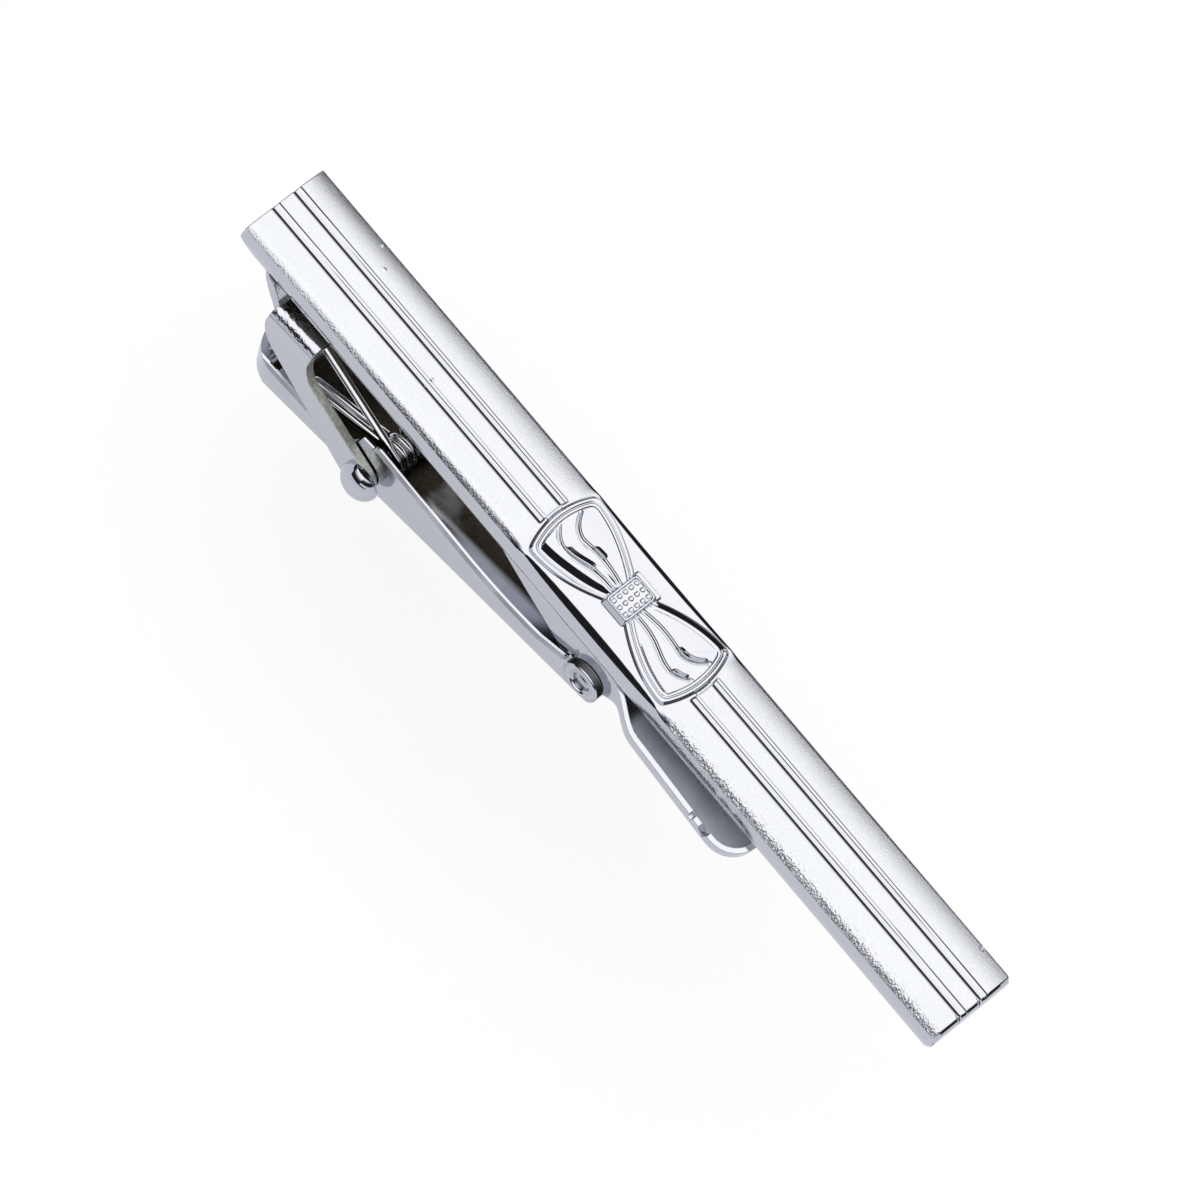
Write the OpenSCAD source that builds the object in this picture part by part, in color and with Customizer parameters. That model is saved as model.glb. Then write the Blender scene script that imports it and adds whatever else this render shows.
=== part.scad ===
// Tie clip: struck bar with a bow, folded hinge bracket, spring lever, rocking jaw.
// +X runs from the bracket end to the free end, +Z is the face side, and the
// origin is the centre of the bar's flat back.
// "Station" is the distance from the bracket end of the bar, "drop" is the
// distance below the back of the bar.

/* [Bar] */
// Length of the bar
bar_l = 58; // [56:1:66]
// Width of the bar at the face
bar_w = 6; // [5.8:0.1:6.6]
// Thickness of the bar
bar_t = 1.9; // [1.6:0.1:2.4]
// How far each long side draws in at the back
side_draw = 0.14; // [0.1:0.01:0.3]
// Height of the drawn-in part of the side
side_h = 1; // [0.6:0.1:1.2]
// Width of the rolled edge of the face
roll_w = 0.3; // [0.1:0.05:0.4]
// Drop of the rolled edge of the face
roll_d = 0.05; // [0.02:0.01:0.1]
// Length of the softened lower corner at the bracket end
soft_l = 1.2; // [0.8:0.1:3]
// Height of the softened lower corner at the bracket end
soft_h = 0.5; // [0.2:0.1:0.9]
// Radius of the lower corner at the free end
end_r = 0.45; // [0.1:0.05:0.8]
// Distance of each lengthwise groove from the middle
groove_y = 0.82; // [0.6:0.02:1]
// Width of each groove
groove_w = 0.5; // [0.3:0.02:0.6]
// Depth of each groove
groove_d = 0.11; // [0.06:0.01:0.16]

/* [Bow] */
// Middle of the bow, off the middle of the bar
bow_x = -0.1; // [-1:0.1:1]
// Half length of the bow
bow_half = 6.25; // [5.5:0.05:7]
// How far the corners of a wing stand back from its end
bow_corner = 0.65; // [0.3:0.05:1]
// Half width of the bow at the wing ends
bow_tip = 2.82; // [2.5:0.02:2.85]
// Half width of the bow at the knot
bow_waist = 1.2; // [1.1:0.02:1.5]
// Height of the wing rims above the face
rim_h = 0.26; // [0.15:0.01:0.35]
// Width of the wing rims
rim_w = 0.2; // [0.12:0.01:0.3]
// Run of the slopes beside the rims
rim_s = 0.09; // [0.05:0.01:0.12]
// Height of the folds
fold_h = 0.23; // [0.1:0.01:0.3]
// Length of the knot along the bar
knot_l = 1.76; // [1.4:0.02:2.1]
// Width of the knot across the bar
knot_w = 2.75; // [2.4:0.05:3]
// Height of the knot above the face
knot_h = 0.42; // [0.3:0.02:0.6]
// Corner radius of the knot
knot_r = 0.3; // [0.1:0.05:0.4]
// Depth of the panel in the knot
panel_d = 0.1; // [0.05:0.01:0.15]
// Border round the panel
panel_b = 0.2; // [0.12:0.02:0.3]
// Studs along the knot
stud_nx = 3; // [2:1:4]
// Studs across the knot
stud_ny = 5; // [3:1:6]
// Radius of a stud
stud_r = 0.14; // [0.08:0.01:0.16]

/* [Hinge bracket] */
// Thickness of the bracket sheet
ear_t = 0.56; // [0.4:0.02:0.7]
// Thickness of the solder under the pad
solder_t = 0.1; // [0.05:0.01:0.2]
// Station of the pad's rounded end
pad_x0 = 1.45; // [1:0.05:2]
// Station where the pad ends
pad_x1 = 3.2; // [2.8:0.05:3.4]
// Width of the pad where it meets the folded plate
pad_w = 6.1; // [5.6:0.1:6.2]
// Station of the left edge of the ears
ear_x0 = 4.15; // [3.9:0.05:4.5]
// Station of the right edge of the strap
ear_x1 = 7.55; // [7:0.05:8.2]
// Drop of the folded plate at its left edge
plate_drop = 1.25; // [1:0.05:1.4]
// Slope of the folded plate
plate_tilt = 7; // [2:0.5:9]
// Outer radius of the folds
fold_r = 0.72; // [0.6:0.02:0.8]
// Radius of the heel of the ear
heel_r = 2.1; // [1.5:0.1:2.3]
// Drop of the heel's centre
heel_drop = 2.2; // [2:0.05:2.5]
// Radius of the ear round the pivot
ear_r = 1.12; // [1:0.02:1.3]
// Slope of the ear's upper edge
ear_slope = 17.6; // [12:0.2:22]
// Radius of the fillet under the strap
ear_fillet = 1.9; // [1:0.1:2.4]

/* [Pivot] */
// Station of the main pivot
pivot_x = 13.9; // [13:0.1:15]
// Drop of the main pivot
pivot_drop = 6.3; // [5.9:0.1:6.8]
// Diameter of the pivot shaft
shaft_d = 0.84; // [0.7:0.02:0.92]
// Diameter of the domed heads
head_d = 2.56; // [2:0.02:2.8]
// Height of the domed heads
head_h = 0.95; // [0.5:0.05:1.2]
// Radial clearance of a fixed shaft in its hole
fix_gap = 0.015; // [0.01:0.005:0.03]
// Radial clearance of a turning shaft in its bore
run_gap = 0.03; // [0.02:0.005:0.06]

/* [Lever] */
// Thickness of the lever sheet
lever_t = 0.43; // [0.35:0.01:0.5]
// Slope of the closed lever
lever_rest = 10.7; // [9:0.1:12]
// Distance from the main pivot to the jaw pin
lever_reach = 16.72; // [15.5:0.1:18]
// Distance from the pivot to the underside of the floor
floor_drop = 1.5; // [1.48:0.01:1.7]
// Outer radius of the bends between floor and walls
bend_r = 0.5; // [0.44:0.02:0.7]
// Distance from the pivot to the finger end
finger_l = 10.05; // [9.3:0.05:10.4]
// Rise of the floor to the finger end
finger_rise = 0.42; // [0.2:0.02:0.6]
// Corner radius of the finger end in plan
finger_r = 2.2; // [1.6:0.1:2.8]
// Height of the walls over the pivot
wall_h = 2.38; // [2.1:0.02:2.6]
// Height of the walls near the jaw pin
wall_low = 0.12; // [0:0.02:0.3]
// Height of the rim of the finger cup above the pivot's level
cup_rim = 0.1; // [0:0.05:0.3]
// Radius of the ears round the jaw pin
lug_r = 1.31; // [1.2:0.01:1.4]
// Side gap between the ears and the lever
lever_gap = 0.08; // [0.05:0.01:0.15]

/* [Jaw pin] */
// Diameter of the jaw pin
pin_d = 1.14; // [0.9:0.02:1.2]
// How far the pin's ends stay below the ears' faces
pin_recess = 0.08; // [0.03:0.01:0.15]
// Width of the countersink round each pin end
sink_w = 0.1; // [0.04:0.01:0.15]

/* [Jaw] */
// Thickness of the jaw sheet
jaw_t = 0.35; // [0.3:0.01:0.42]
// Width over the jaw's cheeks
jaw_w = 4.9; // [4.7:0.05:5.1]
// Side gap between the cheeks and the lever
jaw_gap = 0.05; // [0.04:0.01:0.1]
// Slope of the jaw's rim at rest
jaw_tilt = 2.6; // [1.5:0.1:3]
// Height of the rim above the jaw pin
rim_rise = 2.42; // [2.2:0.02:2.5]
// Distance from the jaw pin to the tail's tip
tail_l = 9.4; // [8.5:0.1:10]
// Distance from the jaw pin to the nose
nose_l = 13.05; // [12:0.05:14]
// Slope of the tail's underside
tail_slope = 18.7; // [17.5:0.1:20]
// Radius of the cheeks round the jaw pin
cheek_r = 1.1; // [1:0.02:1.15]
// Depth of the tray
tray_d = 0.94; // [0.8:0.02:1.2]
// Half width of the tray where the neck ends
tray_a = 3.86; // [3.5:0.02:4]
// Half width of the tray near the nose
tray_b = 4.1; // [3.9:0.02:4.3]
// Start of the neck, from the jaw pin
neck_0 = 0.9; // [0.8:0.1:1.6]
// End of the neck, from the jaw pin
neck_1 = 4.4; // [4:0.1:5]
// Dip of the rim between the tail and the pin
rim_dip = 0.22; // [0.06:0.02:0.4]
// Radius of the nose corners
nose_r = 1.9; // [1.5:0.1:2.2]
// Outer radius of the tray's lower edges
tray_r = 0.4; // [0.36:0.02:0.5]
// Distance from the jaw pin to the side notches
notch_x = 9.35; // [8.5:0.05:10]
// Depth of the side notches
notch_d = 0.45; // [0.2:0.05:0.6]

/* [Spring] */
// Diameter of the spring wire
wire_d = 0.32; // [0.24:0.01:0.33]
// Mean radius of the coil
coil_r = 0.85; // [0.8:0.01:0.88]
// Distance between turns
coil_p = 0.76; // [0.75:0.01:0.78]
// Half distance between the two lower legs
leg_y = 0.45; // [0.44:0.01:0.5]
// Distance from the finger end to the loop of the lower legs
leg_back = 3.6; // [3.2:0.1:5]
// Station of the ends of the upper legs
leg_x = 5.6; // [5.2:0.1:6.4]
// How far the upper legs spread outwards
leg_spread = 0.5; // [0.2:0.05:0.55]

/* [Hidden] */
$fn = 48;
eps = 0.02;

// stations and half widths that follow from the sizes above
function st(x) = x - bar_l/2;
lever_in = jaw_w/2 + jaw_gap;
lever_out = lever_in + lever_t;
ear_in = lever_out + lever_gap;
ear_out = ear_in + ear_t;
pivot = [st(pivot_x), -pivot_drop];
pin = pivot + lever_reach*[cos(lever_rest), sin(lever_rest)];

function arc(c, r, a0, a1, n = 12) =
    [for (i = [0:n]) c + r*[cos(a0 + (a1 - a0)*i/n), sin(a0 + (a1 - a0)*i/n)]];
function mirrored(p) = concat(p, [for (i = [len(p)-1:-1:0]) [-p[i][0], p[i][1]]]);
function rrect(l, w, r, n = 6) = concat(
    arc([l/2 - r, w/2 - r], r, 0, 90, n), arc([r - l/2, w/2 - r], r, 90, 180, n),
    arc([r - l/2, r - w/2], r, 180, 270, n), arc([l/2 - r, r - w/2], r, 270, 360, n));

// an outline in the X-Z plane, carried across the clip from y = a to y = b
module across(a, b) translate([0, b, 0]) rotate([90, 0, 0]) linear_extrude(b - a) children();
// an outline in the Y-Z plane, carried along X from a to b
module along(a, b) translate([a, 0, 0]) rotate([90, 0, 90]) linear_extrude(b - a) children();

// bar
side_R = (side_h*side_h + side_draw*side_draw)/(2*side_draw);
roll_R = (roll_w*roll_w + roll_d*roll_d)/(2*roll_d);
soft_R = (soft_l*soft_l + soft_h*soft_h)/(2*soft_h);
groove_R = (groove_w*groove_w/4 + groove_d*groove_d)/(2*groove_d);

bar_section = mirrored(concat(
    arc([bar_w/2 - side_R, side_h], side_R, -asin(side_h/side_R), 0, 8),
    arc([bar_w/2 - roll_w, bar_t - roll_R], roll_R, 90 - asin(roll_w/roll_R), 90, 5)));
bar_side = concat(
    arc([soft_l - bar_l/2, soft_R], soft_R, 270 - asin(soft_l/soft_R), 270, 10),
    arc([bar_l/2 - end_r, end_r], end_r, 270, 360, 8),
    [[bar_l/2, bar_t + 1], [-bar_l/2, bar_t + 1]]);

module groove(a, b) for (s = [-1, 1])
    translate([a, s*groove_y, bar_t - groove_d + groove_R])
        rotate([0, 90, 0]) cylinder(r = groove_R, h = b - a, $fn = 64);

// bow
// a wing is one surface over u (knot to end) and fifteen lines across it
wing_u = [0, 0.08, 0.16, 0.25, 0.34, 0.43, 0.52, 0.6, 0.67, 0.74, 0.8, 0.85, 0.89, 0.925, 0.965, 1];
wing_0 = knot_l/2 - 0.1;
function wing_edge(u) = bow_waist + (bow_tip - bow_waist)*(1 - pow(1 - u, 2.2));
function fold_a(u) = u < 0.66 ? -0.35 - 0.57*pow(sin(90*u/0.66), 4)
                              : -0.92 + 0.57*pow((u - 0.66)/0.19, 2);
function fold_b(u) = u < 0.6 ? 0.21 + 0.17*sin(300*u) + 0.07*u
                             : 0.25 + 0.85*pow((u - 0.6)/0.23, 2);
function wing_y(u) = let (e = wing_edge(u), i = e - 2*rim_s - rim_w,
        a = fold_a(min(u, 0.89)), b = fold_b(min(u, 0.87)), k = (i - 0.2)/2)
    [-e, rim_s - e, rim_s + rim_w - e, -i, (a - 0.2 - i)/2, a - 0.2, a, a + 0.15,
     (a + b)/2 - 0.02, b - 0.2, b, b + 0.15, (b + 0.15 + i)/2, i, i + rim_s, e - rim_s, e];
// heights of the same lines in the open part of the wing
wing_z = [-0.03, rim_h, rim_h, 0.06, 0.02, 0.05, fold_h, 0.07,
          0.02, 0.05, fold_h, 0.07, 0.02, 0.06, rim_h, rim_h, -0.03];
wing_n = len(wing_z);
function wing_x(u, y) = wing_0 + u*(bow_half - bow_corner*pow(abs(y)/bow_tip, 2) - wing_0);
function wing_h(u, j) = j == 0 || j == wing_n - 1 || u > 0.99 ? -0.03
    : u > 0.9 ? rim_h : wing_z[j];
module wing() {
    m = len(wing_u);
    top = [for (u = wing_u) let (y = wing_y(u))
        for (j = [0:wing_n-1]) [wing_x(u, y[j]), y[j], wing_h(u, j)]];
    low = [for (q = top) [q[0], q[1], -0.4]];
    g = m*wing_n;
    rim = concat([for (j = [0:wing_n-1]) j], [for (i = [1:m-1]) i*wing_n + wing_n - 1],
        [for (j = [wing_n-2:-1:0]) (m-1)*wing_n + j], [for (i = [m-2:-1:1]) i*wing_n]);
    k = len(rim);
    polyhedron(points = concat(top, low), faces = concat(
        [for (i = [0:m-2], j = [0:wing_n-2])
            [i*wing_n + j, i*wing_n + j + 1, (i+1)*wing_n + j]],
        [for (i = [0:m-2], j = [0:wing_n-2])
            [i*wing_n + j + 1, (i+1)*wing_n + j + 1, (i+1)*wing_n + j]],
        [for (i = [0:k-1]) [rim[i], rim[(i+1) % k] + g, rim[(i+1) % k]]],
        [for (i = [0:k-1]) [rim[i], rim[i] + g, rim[(i+1) % k] + g]],
        [[for (i = [k-1:-1:0]) rim[i] + g]]));
}
module knot() {
    panel_l = knot_l - 2*panel_b;
    panel_w = knot_w - 2*panel_b - 0.2;
    difference() {
        union() {
            translate([0, 0, -0.4]) linear_extrude(0.4 + knot_h)
                polygon(rrect(knot_l, knot_w, knot_r));
            // the strap that shows behind the knot
            translate([0, knot_w/2 + 0.05, -0.4]) linear_extrude(0.4 + knot_h/2)
                polygon(rrect(knot_l + 0.1, 0.5, 0.1, 3));
        }
        translate([0, 0, knot_h - panel_d]) linear_extrude(1)
            polygon(rrect(panel_l, panel_w, knot_r/2, 4));
    }
    for (i = [0:stud_nx-1], j = [0:stud_ny-1])
        translate([(i - (stud_nx-1)/2)*panel_l/stud_nx, (j - (stud_ny-1)/2)*panel_w/stud_ny,
                   knot_h - panel_d - 0.05])
            cylinder(r = stud_r, h = panel_d + 0.03, $fn = 16);
}
module bow() {
    for (s = [0, 1]) mirror([s, 0, 0]) wing();
    knot();
}

module face_bar() color("silver") {
    difference() {
        intersection() {
            along(-bar_l/2 - 1, bar_l/2 + 1) polygon(bar_section);
            across(-bar_w, bar_w) polygon(bar_side);
        }
        groove(-bar_l/2 - 1, bow_x - bow_half + 0.2);
        groove(bow_x + bow_half - 0.2, bar_l/2 + 1);
    }
    translate([bow_x, 0, bar_t]) bow();
}

// bracket
function plate_z(x) = -plate_drop + (x - ear_x0)*tan(plate_tilt);
plate_under = ear_t/cos(plate_tilt);
heel = [st(ear_x0) + heel_r, -heel_drop];
ear_c = pivot + [-0.38, -0.2];
ear_dir = atan2(ear_c[1] - heel[1], ear_c[0] - heel[0]);
ear_low = ear_dir - acos((heel_r - ear_r)/norm(ear_c - heel));
ear_n = [cos(90 - ear_slope), sin(90 - ear_slope)];
fil_x = st(ear_x1) + ear_fillet;
fil_z = ((ear_c + ear_r*ear_n)*ear_n + ear_fillet - fil_x*ear_n[0])/ear_n[1];
ear_outline = concat(
    [[st(ear_x0), plate_z(ear_x0) - plate_under + eps]],
    arc(heel, heel_r, 180, 360 + ear_low, 10),
    arc(ear_c, ear_r, ear_low, 90 - ear_slope, 24),
    arc([fil_x, fil_z], ear_fillet, 270 - ear_slope, 180, 10),
    [[st(ear_x1), plate_z(ear_x1) - plate_under + eps]]);

// the pad in plan: a half ellipse that ends as wide as the folded plate, grown by g
function pad_plan(g) = [for (i = [0:24]) let (a = 90 + 7.5*i)
    [st(pad_x1) + (pad_x1 - pad_x0 + g)*cos(a), (pad_w/2 + g)*sin(a)]];
module solder_joint() color("lightgray")
    translate([0, 0, -solder_t]) linear_extrude(solder_t) polygon(pad_plan(0.05));

module hinge_bracket() color("gainsboro") difference() {
    union() {
        // pad that is soldered to the back of the bar
        translate([0, 0, -solder_t - ear_t]) linear_extrude(ear_t) polygon(pad_plan(0));
        // step down to the folded plate
        across(-pad_w/2, pad_w/2) polygon([
            [st(pad_x1) - 0.3, -solder_t], [st(pad_x1), -solder_t],
            [st(ear_x0) + 0.1, plate_z(ear_x0 + 0.1)],
            [st(ear_x0) + 0.1, plate_z(ear_x0 + 0.1) - plate_under],
            [st(ear_x0) - 0.15, plate_z(ear_x0) - plate_under],
            [st(pad_x1) - 0.3, -solder_t - ear_t]]);
        // plate with its two folds
        translate([st(ear_x0), 0, plate_z(ear_x0) - plate_under]) rotate([0, -plate_tilt, 0]) {
            len = (ear_x1 - ear_x0)/cos(plate_tilt);
            fold_y = ear_out - fold_r;
            fold_z = ear_t - fold_r;
            translate([0, -fold_y, 0]) cube([len, 2*fold_y, ear_t]);
            for (s = [0, 1]) mirror([0, s, 0]) intersection() {
                translate([0, fold_y, fold_z]) rotate([0, 90, 0]) cylinder(r = fold_r, h = len);
                translate([-1, fold_y - eps, fold_z]) cube([len + 2, 2, 2]);
            }
        }
        for (s = [0, 1]) mirror([0, s, 0])
            across(ear_in, ear_out) polygon(ear_outline);
    }
    translate([pivot[0], ear_out + 1, pivot[1]]) rotate([90, 0, 0])
        cylinder(d = shaft_d + 2*fix_gap, h = 2*ear_out + 2);
}

module pivot_rivet() color("whitesmoke") translate([pivot[0], 0, pivot[1]])
    rotate([90, 0, 0]) {
        cylinder(d = shaft_d, h = 2*ear_out, center = true);
        for (s = [0, 1]) mirror([0, 0, s]) translate([0, 0, ear_out])
            rotate_extrude() polygon(concat([[0, 0]],
                [for (i = [0:10]) [cos(9*i)*head_d/2, sin(9*i)*head_h]]));
    }

// lever
// The lever is drawn level, with the pivot at 0,0, and is then set to its slope.
lug_x = lever_reach;
rise_R = 20;
rise_a = acos(1 - finger_rise/rise_R);
rise_x = -finger_l + 1.3 + rise_R*sin(rise_a);
wall_R = 28;
wall_x = lug_x - 3.5;
wall_d = [wall_x + 0.3, wall_R - wall_h + wall_low];
wall_a = asin(wall_R/norm(wall_d)) - atan2(wall_d[1], wall_d[0]);
function wall_line(x) = wall_low + wall_R*(1 - cos(wall_a))
    + (wall_x - wall_R*sin(wall_a) - x)*tan(wall_a);
lug_low = 90 - acos((floor_drop - lug_r)/3);
cup_0 = -finger_l/2;
function lever_side(t) = concat(
    // floor from the finger end to the jaw end
    [[-finger_l + t, cup_rim + 0.6 + 2*t]],
    arc([-finger_l + 1.3, -floor_drop + finger_rise + 1.3], 1.3 - t, 180, 270 - rise_a, 6),
    arc([rise_x, -floor_drop + rise_R], rise_R - t, 270 - rise_a, 270, 8),
    [[lug_x - 2, -floor_drop + t]]);
lever_outline = concat(lever_side(0),
    arc([lug_x, 0], lug_r, -90 - lug_low, 150, 20),
    arc([lug_x - lug_r*cos(30) - 0.6, lug_r*sin(30) + 0.2], 0.4, 0, -90, 5),
    arc([wall_x, wall_low + wall_R], wall_R, 270, 270 - wall_a, 8),
    arc([0.1, wall_line(-0.3) - 0.5], 0.5, 90 - wall_a, 165, 6),
    arc([-3.6, cup_rim + 2.6], 2.5, -15, -90, 8),
    [[cup_0, cup_rim], [-finger_l, cup_rim + 0.5]]);
// U section, n = half width, r = bend radius, t = sheet taken off
function channel(n, r, z) = mirrored(concat([[n, 6]],
    arc([n - r, z + r], r, 0, -90, 6)));
function finger_plan(n, x) = let (r = finger_r - (lever_out - n))
    concat(arc([x + r, n - r], r, 90, 180, 8), arc([x + r, r - n], r, 180, 270, 8),
        [[lug_x + 2, -n], [lug_x + 2, n]]);

module lever() color("silver")
    translate([pivot[0], 0, pivot[1]]) rotate([0, -lever_rest, 0]) difference() {
        intersection() {
            along(-finger_l - 1, lug_x + 3) polygon(channel(lever_out, bend_r, -floor_drop));
            across(-lever_out, lever_out) polygon(lever_outline);
            translate([0, 0, -4]) linear_extrude(9) polygon(finger_plan(lever_out, -finger_l));
        }
        intersection() {
            along(-finger_l - 1, lug_x + 3)
                polygon(channel(lever_in, max(0.06, bend_r - lever_t), -floor_drop + lever_t));
            across(-lever_in, lever_in) polygon(concat(lever_side(lever_t),
                [[lug_x + 4, -floor_drop + lever_t], [lug_x + 4, 6], [-finger_l + lever_t, 6]]));
            translate([0, 0, -4]) linear_extrude(12)
                polygon(finger_plan(lever_in, -finger_l + lever_t));
        }
        // the floor ends ahead of the jaw pin
        translate([lug_x - lug_r - 0.1, -lever_in, -3]) cube([4, 2*lever_in, 6]);
        rotate([90, 0, 0]) {
            cylinder(d = shaft_d + 2*run_gap, h = 2*lever_out + 2, center = true);
            translate([lug_x, 0, 0]) {
                cylinder(d = pin_d + 2*fix_gap, h = 2*lever_out + 2, center = true);
                for (s = [0, 1]) mirror([0, 0, s]) translate([0, 0, lever_out - pin_recess])
                    cylinder(d1 = pin_d + 2*fix_gap, d2 = pin_d + 2*sink_w + 0.02,
                             h = pin_recess + 0.01);
            }
        }
    }

module jaw_rivet() color("whitesmoke") translate([pin[0], 0, pin[1]]) rotate([90, 0, 0])
    cylinder(d = pin_d, h = 2*(lever_out - pin_recess), center = true);

// jaw
// The jaw is drawn with its rim level and the jaw pin at 0,0.
tray_z = rim_rise - tray_d;
lobe_a = 270 - tail_slope;
lobe_x = cheek_r*cos(lobe_a);
up_r = 1.2;
up_x = sqrt(pow(cheek_r + up_r, 2) - pow(tray_z - up_r, 2));
up_t = up_x*cheek_r/(cheek_r + up_r);
// underside of the jaw along x
function jaw_low(x) = x < lobe_x
        ? min(rim_rise - 0.3, cheek_r*sin(lobe_a) - (x - lobe_x)*tan(tail_slope))
    : x < up_t ? -sqrt(max(0, cheek_r*cheek_r - x*x))
    : x < up_x + 0.4 ? tray_z*pow(sin(90*(x - up_t)/(up_x + 0.4 - up_t)), 1.2)
                       + jaw_low(up_t - eps)*pow(cos(90*(x - up_t)/(up_x + 0.4 - up_t)), 3)
    : tray_z;
function ease(k) = k <= 0 ? 0 : k >= 1 ? 1 : k*k*(3 - 2*k);
tail_r = 0.9;
// half width of the jaw in plan and its stations, with t of sheet taken off
function jaw_half(x, t) = let (
        w = jaw_w/2 + (tray_a - jaw_w/2)*ease((x - neck_0)/(neck_1 - neck_0))
            + (tray_b - tray_a)*max(0, min(1, (x - neck_1)/(nose_l - nose_r - neck_1))),
        a = max(0, x - nose_l + nose_r), b = max(0, tail_r - tail_l - x))
    w - nose_r + sqrt(max(0, pow(nose_r - t, 2) - a*a))
        + t - tail_r + sqrt(max(0, pow(tail_r - t, 2) - b*b));
function jaw_x(t) = concat(
    [for (i = [0:4]) tail_r - tail_l - (tail_r - t)*cos(18*i)],
    [for (i = [1:10]) tail_r - tail_l + (tail_l - tail_r - 1.5)*i/10],
    [-1.2, -0.9, -0.6, -0.3, 0, 0.3, 0.6, 0.9],
    [for (i = [0:8]) 1.1 + (neck_1 - 1.1)*i/8],
    [for (i = [1:3]) neck_1 + (nose_l - nose_r - neck_1)*i/3],
    [for (i = [1:8]) nose_l - nose_r + (nose_r - t)*sin(11.25*i)]);
function jaw_rim(x) = rim_rise - rim_dip*pow(cos(90*min(1, abs(x + 3.1)/2.1)), 2);
function jaw_ring(x, t, up) = let (n = jaw_half(x, t), z = jaw_low(x) + t,
        r = min(max(0.05, tray_r - t), 0.6*(rim_rise + 0.1 - z)))
    [for (q = mirrored(concat([[-n, up]], arc([r - n, z + r], r, 180, 270, 4)))) [x, q[0], q[1]]];
module loft(rings) {
    m = len(rings); k = len(rings[0]);
    polyhedron(points = [for (r = rings, q = r) q], faces = concat(
        [[for (j = [0:k-1]) j]], [[for (j = [k-1:-1:0]) (m-1)*k + j]],
        [for (i = [0:m-2], j = [0:k-1]) [i*k + j, (i+1)*k + j, i*k + (j+1) % k]],
        [for (i = [0:m-2], j = [0:k-1])
            [i*k + (j+1) % k, (i+1)*k + j, (i+1)*k + (j+1) % k]]));
}

module swivel_jaw() color("lightsteelblue")
    translate([pin[0], 0, pin[1]]) rotate([0, jaw_tilt, 0]) difference() {
        loft([for (x = jaw_x(0)) jaw_ring(x, 0, jaw_rim(x))]);
        loft([for (x = jaw_x(jaw_t)) jaw_ring(x, jaw_t, rim_rise + 1)]);
        // window between the cheeks
        translate([-2.2, 0.15 + jaw_t - jaw_w/2, -3])
            cube([4, jaw_w - 2*jaw_t - 0.3, 3 + tray_z]);
        // notch with one tooth in each side of the rim
        across(-tray_b - 1, tray_b + 1) polygon([
            [notch_x, rim_rise + 0.1], [notch_x + 0.05, rim_rise - 0.7*notch_d],
            [notch_x + 0.3, rim_rise - 0.7*notch_d], [notch_x + 0.36, rim_rise - 0.15*notch_d],
            [notch_x + 0.85, rim_rise - 0.2*notch_d], [notch_x + 1.4, rim_rise - notch_d],
            [notch_x + 1.6, rim_rise + 0.1]]);
        rotate([90, 0, 0]) cylinder(d = pin_d + 2*run_gap, h = jaw_w + 2, center = true);
    }

// spring
// One wire: upper leg, coil, lower leg, loop, lower leg, coil, upper leg.
spring_end = [st(leg_x), plate_z(leg_x) - plate_under - wire_d/2 - 0.12] - pivot;
end_a = atan2(spring_end[1], spring_end[0]) - acos(coil_r/norm(spring_end));
start_a = lever_rest - 90;
leg_l = finger_l - leg_back;
coil_a = end_a + 720 - start_a;
coil_n = ceil(coil_a/45);
coil_out = leg_y + coil_p*coil_a/360;
top_0 = coil_r*[cos(end_a), sin(end_a)];
low_0 = coil_r*[cos(start_a), sin(start_a)];
lever_dir = [cos(lever_rest), sin(lever_rest)];
half_wire = concat(
    [for (i = [0:3]) let (k = 1 - i/3.3, q = top_0 + (spring_end - top_0)*k)
        [q[0], -coil_out - leg_spread*k, q[1]]],
    [for (i = [0:coil_n]) let (a = end_a + 720 - coil_a*i/coil_n)
        [coil_r*cos(a), -coil_out + coil_p*coil_a/360*i/coil_n, coil_r*sin(a)]],
    [for (i = [1:4]) let (q = low_0 - (leg_l - leg_y)*i/4.2*lever_dir) [q[0], -leg_y, q[1]]],
    [for (i = [0:3]) let (q = low_0 - (leg_l - leg_y + leg_y*sin(22.5*i))*lever_dir)
        [q[0], -leg_y*cos(22.5*i), q[1]]]);
wire = concat(half_wire,
    [let (q = low_0 - leg_l*lever_dir) [q[0], 0, q[1]]],
    [for (i = [len(half_wire)-1:-1:0]) [half_wire[i][0], -half_wire[i][1], half_wire[i][2]]]);
function unit(v) = v/norm(v);
function lean(n, t) = unit(n - (n*t)*t);
wire_n = len(wire);
wire_t = [for (i = [0:wire_n-1]) unit(wire[min(i+1, wire_n-1)] - wire[max(i-1, 0)])];
wire_s = [for (i = 0, n = lean([0, 1, 0], wire_t[0]); i < wire_n;
    i = i + 1, n = i < wire_n ? lean(n, wire_t[i]) : n) n];
wire_gap = min([for (i = [0:wire_n-1], j = [i+5:1:wire_n-1])
    if (abs(wire[i][1] - wire[j][1]) > 0.3 || j - i > 12) norm(wire[i] - wire[j])]) - wire_d;
module torsion_spring() {
    echo(least_gap_of_wire_to_itself = wire_gap);
    color("darkgray") translate([pivot[0], 0, pivot[1]])
        loft([for (i = [0:wire_n-1]) let (n = wire_s[i], b = cross(wire_t[i], n))
            [for (k = [0:5]) wire[i] + wire_d/2*(cos(60*k)*n + sin(60*k)*b)]]);
}

face_bar();
solder_joint();
hinge_bracket();
pivot_rivet();
torsion_spring();
lever();
jaw_rivet();
swivel_jaw();
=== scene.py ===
import math
import bpy
import bmesh
import numpy as np
from mathutils import Matrix, Vector


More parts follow.
